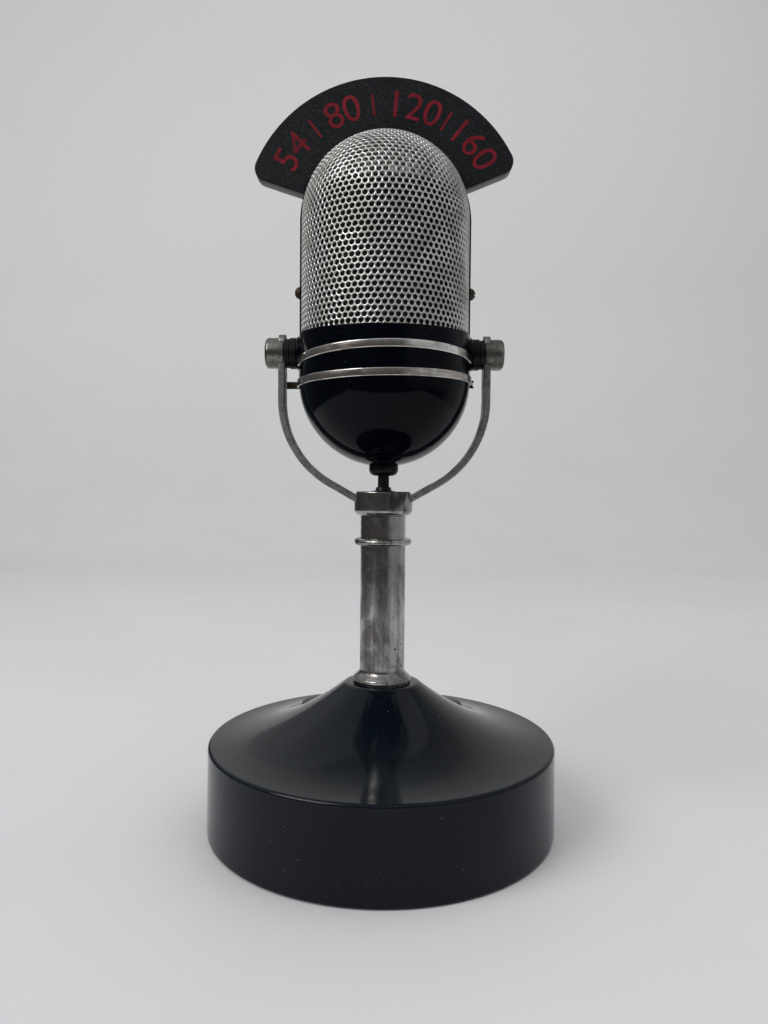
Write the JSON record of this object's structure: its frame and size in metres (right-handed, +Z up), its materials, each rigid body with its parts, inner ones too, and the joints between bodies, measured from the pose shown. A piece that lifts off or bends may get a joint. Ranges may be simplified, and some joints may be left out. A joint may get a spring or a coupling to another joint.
{
  "type": "novelty radio",
  "caption": "Table radio shaped like a studio microphone on a stand: chrome grille over a loudspeaker, arched sign, tilting head in a yoke, battery base with thumbwheels.",
  "frame": {"origin": "on the table, under the middle of the base", "axes": "+Z up, -Y the front with the grille, +X to the right as seen from the front"},
  "size_m": [0.135, 0.135, 0.2896],
  "materials": {
    "base_gloss": "deep gloss black, lightly scratched",
    "head_gloss": "gloss black",
    "plate_plastic": "fine grained black",
    "foot_rubber": "dark grey rubber",
    "screw_steel": "zinc-plated steel",
    "cell_jacket": "printed foil jacket without words",
    "contact_metal": "nickel-plated spring steel",
    "lead_red": "red insulated wire",
    "board_green": "green laminate",
    "gang_white": "clear-white moulding",
    "pot_steel": "pressed steel",
    "shaft_nylon": "white nylon",
    "wheel_black": "black, ribbed rim",
    "ferrite": "dark grey ferrite",
    "coil_copper": "enamelled copper wire",
    "clip_black": "black moulding",
    "can_metal": "bright can",
    "capacitor_blue": "blue sleeve",
    "socket_ivory": "ivory nylon",
    "stem_chrome": "worn chrome, fine pits",
    "yoke_steel": "dull plated strap",
    "cap_chrome": "pitted chrome",
    "washer_black": "black washer and bush",
    "grommet_black": "black rubber",
    "cable_black": "black sheath",
    "grille_chrome": "perforated sheet, chrome",
    "grille_black": "black cloth",
    "band_chrome": "bright trim with a warm cast",
    "baffle_black": "black board",
    "frame_steel": "pressed steel",
    "magnet_grey": "ferrite magnet",
    "surround_black": "treated cloth",
    "cone_paper": "black paper",
    "side_screw": "rusty plated steel",
    "tab_brass": "tarnished",
    "sign_black": "gloss black",
    "sign_front": "black with red numbers",
    "lamp_red": "small red lamps"
  },
  "bodies": {
    "stand": {"base_shell": "base_gloss", "bottom_plate": "plate_plastic", "rubber_feet": "foot_rubber", "base_screws": "screw_steel", "battery_cells": "cell_jacket", "battery_contacts": "contact_metal", "battery_leads": "lead_red", "circuit_board": "board_green", "tuning_gang": "gang_white", "volume_control": "pot_steel", "ferrite_rod": "ferrite", "aerial_coil": "coil_copper", "rod_clips": "clip_black", "tuned_coils": "can_metal", "capacitors": "capacitor_blue", "amplifier_chip": "clip_black", "cable_socket": "socket_ivory", "stem_washer": "screw_steel", "tie_nuts": "screw_steel", "tie_rod": "screw_steel", "stem_tube": "stem_chrome", "bead_ring": "stem_chrome", "collar": "stem_chrome", "yoke": "yoke_steel", "stem_grommet": "grommet_black", "stem_cable": "cable_black", "joint_cable": "cable_black", "pivot_caps": "cap_chrome", "pivot_screws": "screw_steel", "pivot_washers": "washer_black"},
    "battery_door": {"battery_door": "plate_plastic"},
    "tuning": {"tuning_shaft": "shaft_nylon", "tuning_wheel": "wheel_black"},
    "volume": {"volume_shaft": "shaft_nylon", "volume_wheel": "wheel_black"},
    "head": {"pivot_bushes": "washer_black", "rear_shell": "head_gloss", "front_shell": "head_gloss", "grille": "grille_chrome", "grille_cloth": "grille_black", "upper_band": "band_chrome", "lower_band": "band_chrome", "speaker_baffle": "baffle_black", "speaker_frame": "frame_steel", "speaker_magnet": "magnet_grey", "speaker_surround": "surround_black", "head_cable": "cable_black", "head_grommet": "grommet_black", "cable_tie": "socket_ivory", "head_leads": "lead_red", "head_screws": "screw_steel", "grille_screws": "side_screw", "seam_tab": "tab_brass", "sign_case": "sign_black", "sign_face": "sign_front", "lamp_strip": "board_green", "sign_lamps": "lamp_red"},
    "cone": {"speaker_cone": "cone_paper", "voice_coil": "coil_copper", "dust_cap": "cone_paper"}
  },
  "joints": [
    {"name": "head_tilt", "type": "hinge", "parent": "stand", "child": "head", "pos_m": [0, 0, 0.1835], "axis": [1, 0, 0], "range_deg": [-15, 15], "deforming": ["joint_cable"]},
    {"name": "tuning_turn", "type": "hinge", "parent": "stand", "child": "tuning", "pos_m": [0.02335, 0.01824, 0.04], "axis": [0, 0, 1], "range_deg": [-90, 90]},
    {"name": "volume_turn", "type": "hinge", "parent": "stand", "child": "volume", "pos_m": [-0.02335, 0.01824, 0.04], "axis": [0, 0, 1], "range_deg": [0, 270]},
    {"name": "battery_door_open", "type": "hinge", "parent": "stand", "child": "battery_door", "pos_m": [0, -0.052, 0.0016], "axis": [-1, 0, 0], "range_deg": [0, 75]},
    {"name": "cone_move", "type": "slide", "parent": "head", "child": "cone", "axis": [0, -1, 0], "range_m": [-0.0007, 0.0007], "stiffness_N_per_m": 800}
  ]
}
